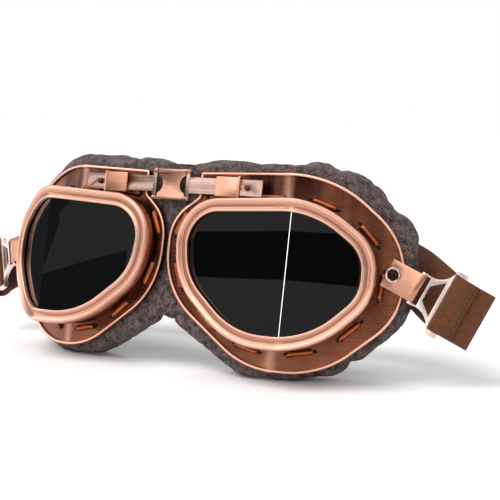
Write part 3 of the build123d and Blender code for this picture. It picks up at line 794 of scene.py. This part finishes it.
def swell(piece):
    # the leather puffs up like a stuffed cushion, no further than its cap
    rest = [vertex.co.copy() for vertex in piece.data.vertices]
    cloth = piece.modifiers.new("swell", "CLOTH")
    cloth.settings.use_pressure = True
    cloth.settings.uniform_pressure_force = padShape["pressure"]
    cloth.settings.effector_weights.gravity = 0
    cloth.settings.quality = padShape["quality"]
    cloth.point_cache.frame_start = 1
    cloth.point_cache.frame_end = padShape["steps"]
    for step in range(1, padShape["steps"] + 1):
        bpy.context.scene.frame_set(step)
    settle(piece)
    cap = padShape["cap"] * mm
    for vertex, start in zip(piece.data.vertices, rest):
        move = vertex.co - start
        if move.length > cap:
            vertex.co = start + move.normalized() * cap
    bpy.context.scene.frame_set(1)


def subdivide(piece, levels):
    finer = piece.modifiers.new("finer", "SUBSURF")
    finer.levels = finer.render_levels = levels
    return settle(piece)


def padHold(spot):
    # full folds on the outside, flatter against the flange and over the nose
    x = abs(spot.x)
    depth = spot.y - flangeFace(x) - flange["gauge"]
    back = min(1, max(padHolds["flangeLeast"], (depth - padHolds["flangeFrom"]) / padHolds["flangeOver"]))
    nose = min(1, max(padHolds["noseLeast"], (x - padHolds["noseFrom"]) / padHolds["noseOver"]))
    return back * nose


def keepBehind(piece, side):
    # the pad stays behind the flange and on the floor
    for vertex in piece.data.vertices:
        spot = drawn(vertex.co, side)
        limit = flangeFace(spot.x) + flange["gauge"] + padShape["flangeGap"]
        if spot.y < limit:
            spot.y = limit
            vertex.co = placed(spot, side)
        if vertex.co.z < 0:
            vertex.co.z = 0


def makePads():
    blank = padBlank()
    swell(blank)
    subdivide(blank, padShape["levels"])
    for side in sides:
        mesh = blank.data.copy()
        if side == "left":
            mesh.transform(Matrix.Scale(-1, 4, (1, 0, 0)))
            mesh.flip_normals()
        piece = newPiece(side + "_pad_leather", mesh, finishes["leather"])
        creaseLeather(piece, padShape["seeds"][side], padHold)
        keepBehind(piece, side)
        outwards(mesh)
        mesh.shade_smooth()
        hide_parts(side + "_pad")
        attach(piece, side + "_cup")
        print(side, "pad has", len(mesh.polygons), "faces")
    bpy.data.objects.remove(blank)


# leather over the nose, spread sideways to reach into the pads, more so above the clip
gusset = {"voxel": 0.9, "smoothings": 3, "smoothing": 0.5,
          "seeds": {"right": 5.2, "left": 9.4}, "foldShare": 0.25, "middle": 0.45,
          "widen": 2.0, "widenTop": 2.6, "clip": 38.0, "top": 43.6, "overTopShare": 0.1, "behind": 1.3,
          "blendStart": 0.2, "blendLength": 3.4, "blendDepth": 12}


def makeNoseLeather(side):
    piece = evenCopy(side + "_nose_leather", side + "_nose_gusset", gusset["voxel"])
    mesh = piece.data
    with meshWork(mesh) as work:
        for again in range(gusset["smoothings"]):
            bmesh.ops.smooth_vert(work, verts=work.verts, factor=gusset["smoothing"], use_axis_x=True,
                                  use_axis_y=True, use_axis_z=True)
    creaseLeather(piece, gusset["seeds"][side], lambda spot: gusset["foldShare"])
    for vertex in mesh.vertices:
        # both halves meet on the centre plane and stay below the clip and behind the flange
        spot = drawn(vertex.co, side)
        spread = gusset["widen"] if spot.z < gusset["clip"] else gusset["widenTop"]
        spot.x = 0 if spot.x < gusset["middle"] else spot.x * spread
        spot.z = min(spot.z, gusset["top"] + gusset["overTopShare"] * (spot.z - gusset["top"]))
        spot.y = max(spot.y, flangeFace(spot.x) + flange["gauge"] + gusset["behind"])
        vertex.co = placed(spot, side)
    outwards(mesh)
    mesh.shade_smooth()
    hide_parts(side + "_nose_gusset")
    start = placed((gusset["blendStart"], gusset["blendDepth"], 0), side)
    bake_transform(piece)


makePads()
for side in sides:
    makeNoseLeather(side)
print("leather made")


# elastic strap: the lug's loop stands off the flange and holds the buckle, whose far bar holds the strap

lug = {"x": 97.9, "z": 3.7, "droop": radians(23.5), "lift": 1.4, "gauge": 0.7, "loopRadius": 1.15}
buckleGauge = 2.0
loopHeight = lug["lift"] + lug["gauge"] + lug["loopRadius"]
eyeletSpot = Vector((lug["x"], flangeFace(lug["x"]), lug["z"]))
sideOut = outOf(flange["sideSweep"])
sideAlong = Vector((-sideOut.y, sideOut.x, 0))
strapOut = sideAlong * cos(lug["droop"]) - Vector((0, 0, sin(lug["droop"])))
strapUp = sideOut.cross(strapOut)

strap = {"width": 25.0, "gauge": 1.5, "gap": 0.3, "turnRadius": 3.0,
         "start": 33.7, "via": Vector((96, 57, 6)), "centre": Vector((0, 64, 6)),
         "fineSteps": 600, "rows": 120, "spanShares": (0.0, 0.13, 0.22, 0.60, 1.0),
         "ribs": 14, "crownShare": 0.06, "edgeSwing": radians(54), "endEase": 0.6}
strap["under"] = loopHeight - buckleGauge / 2 - strap["gap"]
strap["behind"] = strap["under"] - strap["gauge"] / 2 - 2 * strap["turnRadius"]

# two rows across the strap, where its end is sewn down
stitches = {"seam": 33.0, "fromSeam": (1.1, 2.6), "pitch": 2.2, "margin": 1.2, "length": 1.5, "radius": 0.22,
            "proud": 0.02, "sharpness": 2.0}


def lugSpot(along, up, out):
    return eyeletSpot + strapOut * along + strapUp * up + sideOut * out


def parabolaSlope(points, times, at):
    # slope of the parabola that passes three points at their times
    total = Vector((0, 0, 0))
    for i, point in enumerate(points):
        before, after = times[:i] + times[i + 1:]
        total += point * ((2 * at - before - after) / ((times[i] - before) * (times[i] - after)))
    return total


def cubicSpot(start, stop, startSlope, stopSlope, span, t):
    return (start * (2 * t ** 3 - 3 * t ** 2 + 1) + startSlope * span * (t ** 3 - 2 * t ** 2 + t)
            + stop * (3 * t ** 2 - 2 * t ** 3) + stopSlope * span * (t ** 3 - t ** 2))


def smoothRun(points, startAhead, endAhead):
    # a curve through three points with given end directions, its two spans joined without a kink
    first, second = (points[1] - points[0]).length, (points[2] - points[1]).length
    times = (0, first, first + second)
    starts = startAhead * parabolaSlope(points, times, times[0]).length
    ends = endAhead * parabolaSlope(points, times, times[2]).length
    known = ((points[1] - points[0]) / first ** 2 + (points[2] - points[1]) / second ** 2) * 3
    middle = (known - starts / first - ends / second) / (2 / first + 2 / second)

    def spotAt(place):
        if place <= first:
            return cubicSpot(points[0], points[1], starts, middle, first, place / first)
        return cubicSpot(points[1], points[2], middle, ends, second, (place - first) / second)

    return spotAt, times[2]


def strapRows():
    # centre, direction across, direction out and length so far, evenly spaced along the webbing
    start = lugSpot(strap["start"], 0, strap["behind"])
    spotAt, total = smoothRun([start, strap["via"], strap["centre"]], -strapOut, Vector((-1, 0, 0)))
    last = strap["fineSteps"]
    fine = [spotAt(total * step / last) for step in range(last + 1)]
    runs = [0, *accumulate((b - a).length for a, b in zip(fine, fine[1:]))]
    rows = []
    for step in range(strap["rows"] + 1):
        share = step / strap["rows"]
        run = share * runs[-1]
        index = min(last - 1, bisect_right(runs, run) - 1)
        past = (run - runs[index]) / (runs[index + 1] - runs[index])
        spot = fine[index].lerp(fine[index + 1], min(1, past))
        ahead = (fine[min(last, index + 2)] - fine[max(0, index - 1)]).normalized()
        upright = strapUp * (1 - share) + Vector((0, 0, share))
        across = (upright - ahead * upright.dot(ahead)).normalized()
        rows.append((spot, across, ahead.cross(across), run))
    return rows


def webbingSection():
    # an oval-edged strip with a faint crown on every other rib, as (across, out) in millimetres
    half, thick, ribs = strap["width"] / 2, strap["gauge"] / 2, strap["ribs"]
    top = [(half - thick - i * (strap["width"] - strap["gauge"]) / ribs,
            thick * (1 + strap["crownShare"] * (i % 2))) for i in range(ribs + 1)]
    edge = [(-half + thick * (1 - cos(swing)), thick * sin(swing))
            for swing in (strap["edgeSwing"], 0, -strap["edgeSwing"])]
    return top + edge + [(-a, -b) for a, b in top + edge]


def makeStrapSpan(side, number, rows):
    section = webbingSection()
    rings = [[placed(spot + across * a + out * b, side) for a, b in section]
             for spot, across, out, run in rows]
    mesh = meshFromGrid("strap", rings, closed=False)
    layer = mesh.uv_layers.new(name="UVMap")
    for loop, corner in zip(mesh.loops, layer.data):
        row, column = divmod(loop.vertex_index, len(section))
        corner.uv = (rows[row][3] * mm, section[column][0] * mm)
    piece = newPiece(side + "_strap_span_" + str(number), mesh, finishes["webbing"])
    smooth(piece, 60)
    placed(rows[0][0], side)
    placed(rows[-1][0], side)
    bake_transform(piece)
    return piece


def makeStrap():
    # each side gets its own spans, running to the middle
    rows = strapRows()
    marks = [round(share * strap["rows"]) for share in strap["spanShares"]]
    for side in sides:
        for number, (low, high) in enumerate(zip(marks, marks[1:])):
            piece = makeStrapSpan(side, number + 1, rows[low:high + 1])
            if side == "right" and number == 0:
                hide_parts("strap_band")


def makeStrapEnd(side):
    piece = roundedCopy(side + "_strap_end", "_webbing", finishes["webbing"], strap["endEase"],
                        side + "_buckle", 3)
    mesh = piece.data
    layer = mesh.uv_layers[0] if mesh.uv_layers else mesh.uv_layers.new(name="UVMap")
    for loop, corner in zip(mesh.loops, layer.data):
        spot = drawn(mesh.vertices[loop.vertex_index].co, side) - eyeletSpot
        corner.uv = (spot.dot(strapOut) * mm, spot.dot(strapUp) * mm)


def makeStitches(side):
    places = []
    out = strap["under"] + strap["gauge"] + stitches["proud"]
    gaps = int((strap["width"] - 2 * stitches["margin"]) / stitches["pitch"])
    for inset in stitches["fromSeam"]:
        for number in range(gaps + 1):
            spot = lugSpot(stitches["seam"] - inset, (number - gaps / 2) * stitches["pitch"], out)
            places.append((placed(spot, side), placedTurn(strapUp, side), placedTurn(sideOut, side)))
    layTubes(side + "_strap_stitches", places, stitches["length"], stitches["radius"], stitches["sharpness"],
             finishes["thread"], side + "_buckle")


makeStrap()
for side in sides:
    makeStrapEnd(side)
    makeStitches(side)
print("strap made")


# studio

def makeFloor(size):
    corners = [(-size, -size, 0), (size, -size, 0), (size, size, 0), (-size, size, 0)]
    mesh = bpy.data.meshes.new("floor")
    mesh.from_pydata(corners, [], [(0, 1, 2, 3)])
    piece = newPiece("floor", mesh, newMaterial("paleFloor", 0.97, 0.9, Specular_IOR_Level=0.1))


# the room that only reflections see, as tones from floor to ceiling ("walls") and from left to right
# ("sides"), and with the strips of light in front ("strips")
studioLight = {"plain": 0.62, "background": 1.0, "stripPower": 1.5, "wallPower": 2.0,
               "strips": ((0.0, 1.0), (0.18, 1.0), (0.21, 0.5), (0.25, 0.5), (0.27, 0.0), (0.325, 0.0),
                          (0.345, 0.35), (0.45, 0.35), (0.485, 1.0), (0.545, 1.0), (0.58, 0.35), (0.66, 0.35),
                          (0.69, 0.0)),
               "sides": ((0.0, 0.6), (0.10, 0.7), (0.17, 1.0), (1.0, 1.0)),
               "walls": ((0.0, 0.375), (0.49, 0.31), (0.58, 0.25), (0.66, 0.275), (0.80, 0.525), (1.0, 0.85))}


def background(tree, strength):
    node = addNode(tree, "ShaderNodeBackground", {"Color": rgba(1.0)})
    if isinstance(strength, float):
        node.inputs["Strength"].default_value = strength
    else:
        tree.links.new(strength, node.inputs["Strength"])
    return node.outputs[0]


def makeWorld():
    # even light on soft things, a plain white background, and softboxes seen only in reflections
    world = bpy.data.worlds.new("studio")
    bpy.context.scene.world = world
    world.use_nodes = True
    tree = world.node_tree
    tree.nodes.clear()
    coords, parts = addNode(tree, "ShaderNodeTexCoord"), addNode(tree, "ShaderNodeSeparateXYZ")
    tree.links.new(coords.outputs["Generated"], parts.inputs["Vector"])
    upward = maths(tree, "MULTIPLY_ADD", parts.outputs["Z"], 0.5, 0.5)
    across = maths(tree, "MULTIPLY_ADD", parts.outputs["X"], 0.5, 0.5)
    ahead = maths(tree, "LESS_THAN", parts.outputs["Y"], 0.0)
    walls = maths(tree, "MULTIPLY", ramp(tree, upward, studioLight["walls"]), studioLight["wallPower"])
    walls = maths(tree, "MULTIPLY", walls, ramp(tree, across, studioLight["sides"]))
    strips = maths(tree, "MULTIPLY", ramp(tree, across, studioLight["strips"]), ahead)
    strips = maths(tree, "MULTIPLY", strips, studioLight["stripPower"])
    room = background(tree, maths(tree, "ADD", walls, strips))
    white = background(tree, studioLight["background"])
    result = background(tree, studioLight["plain"])
    path = addNode(tree, "ShaderNodeLightPath")
    for kind, seen in (("Is Glossy Ray", room), ("Is Camera Ray", white)):
        mix = addNode(tree, "ShaderNodeMixShader")
        tree.links.new(path.outputs[kind], mix.inputs[0])
        tree.links.new(result, mix.inputs[1])
        tree.links.new(seen, mix.inputs[2])
        result = mix.outputs[0]
    output = addNode(tree, "ShaderNodeOutputWorld")
    tree.links.new(result, output.inputs["Surface"])


# kind, place, size and power; a sun's size is the angle that it covers
lamps = {"key": ("SUN", (-0.45, -0.45, 0.95), 0.75, 2.0), "back": ("AREA", (-0.25, 0.75, 0.9), 0.6, 3.0),
         "front": ("AREA", (-0.1, -0.9, 0.35), 0.5, 1.2)}
lampAim = Vector((0, 0, 0.04))


def lookAlong(start, goal):
    return (goal - start).to_track_quat("-Z", "Y")


def makeLamp(name, kind, place, size, power):
    light = bpy.data.lights.new(name, kind)
    light.energy = power
    if kind == "SUN":
        light.angle = size
    else:
        light.size = size
    lamp = linked(name, light)
    lamp.location = place
    lamp.rotation_euler = lookAlong(Vector(place), lampAim).to_euler()
    lamp.visible_glossy = False


view = {"place": Vector((0.2974, -0.45358, 0.1180)), "aim": Vector((0.04924, -0.03518, 0.05654)),
        "roll": radians(0.30), "lens": 86.4, "sensor": 36.0, "nearest": 0.01, "furthest": 50}

# cards seen only in the lens panes: side, tone, distance from the pane, and the outline on the lens
# face where each shows
cards = {
    "rightBack": ("right", 0.5, 0.125, ((-50, -30), (0, -30), (0, 30), (-50, 30))),
    "rightBandFront": ("right", 0.05, 0.12, ((-48, -5.5), (0, -3.1), (0, 17.0), (-48, 14.0))),
    "rightBandSide": ("right", 0.05, 0.12, ((0, -3.1), (34, -2.6), (34, 18.8), (0, 17.0))),
    "leftBack": ("left", 0.45, 0.15, ((-50, -30), (0, -30), (0, 30), (-50, 30))),
    "leftLow": ("left", 0.14, 0.14, ((-1, -6.8), (1, -30), (-52, -34), (-52, 10.6), (-46.8, 9.0),
                                     (-31.1, 4.0), (-16.3, -1.3))),
    "leftWedge": ("left", 0.16, 0.135, ((0, 27), (0, -6.5), (-1.0, -5.6), (-6.1, 13.2), (-5.9, 18.6),
                                        (-10.6, 23.5), (-12, 27))),
    "leftSide": ("left", 0.05, 0.14, ((0, -27), (32, -24), (32, 22), (0, 25))),
}


def makeCard(name, side, tone, reach, outline):
    # where the camera's sight lines go once the pane has mirrored them
    spots = [placed(onLensFace(Vector(spot), 1.0), side) for spot in outline]
    normal = (spots[1] - spots[0]).cross(spots[2] - spots[0]).normalized()
    corners = [spot + (spot - view["place"]).normalized().reflect(normal) * reach for spot in spots]
    mesh = bpy.data.meshes.new(name)
    mesh.from_pydata(corners, [], [tuple(range(len(corners)))])
    material = bpy.data.materials.new(name)
    material.use_nodes = True
    tree = material.node_tree
    tree.nodes.clear()
    glow = addNode(tree, "ShaderNodeEmission", {"Color": rgba(tone), "Strength": 1.0})
    output = addNode(tree, "ShaderNodeOutputMaterial")
    tree.links.new(glow.outputs[0], output.inputs["Surface"])
    card = newPiece(name, mesh, material)
    card.visible_camera = card.visible_diffuse = card.visible_shadow = card.visible_transmission = False


def makeCamera():
    data = bpy.data.cameras.new("camera")
    data.lens, data.sensor_width = view["lens"], view["sensor"]
    data.clip_start, data.clip_end = view["nearest"], view["furthest"]
    camera = linked("camera", data)
    turn = lookAlong(view["place"], view["aim"]).to_matrix() @ Matrix.Rotation(view["roll"], 3, "Z")
    camera.matrix_world = Matrix.Translation(view["place"]) @ turn.to_4x4()
    bpy.context.scene.camera = camera


makeFloor(4.0)
makeWorld()
for name, lamp in lamps.items():
    makeLamp(name, *lamp)
for name, card in cards.items():
    makeCard(name, *card)
makeCamera()
bpy.context.scene.view_settings.view_transform = "Standard"
print("studio made")
